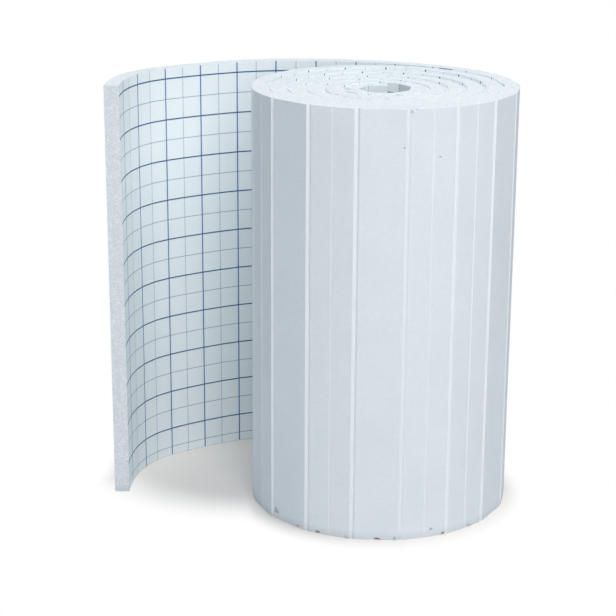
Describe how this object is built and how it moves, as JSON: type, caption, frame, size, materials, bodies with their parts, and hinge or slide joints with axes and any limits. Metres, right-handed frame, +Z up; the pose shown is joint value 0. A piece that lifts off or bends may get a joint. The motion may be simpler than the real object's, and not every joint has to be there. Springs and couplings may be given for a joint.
{
  "type": "insulation roll",
  "caption": "Standing roll of slatted expanded polystyrene floor insulation with a loose end that shows its printed grid film.",
  "frame": {"origin": "on the roll's axis, at the floor it stands on", "axes": "+Z up along the roll's axis, +Y away from the viewer, +X to the viewer's right; the loose end lies on the -X side"},
  "size_m": [0.9514, 0.6732, 1],
  "materials": {
    "polystyrene": "white expanded polystyrene, moulded beads cut with a hot wire",
    "film": "white laminated film with a printed blue grid"
  },
  "bodies": {
    "root": {"foam_roll": "polystyrene", "printed_film": "film"}
  },
  "joints": []
}
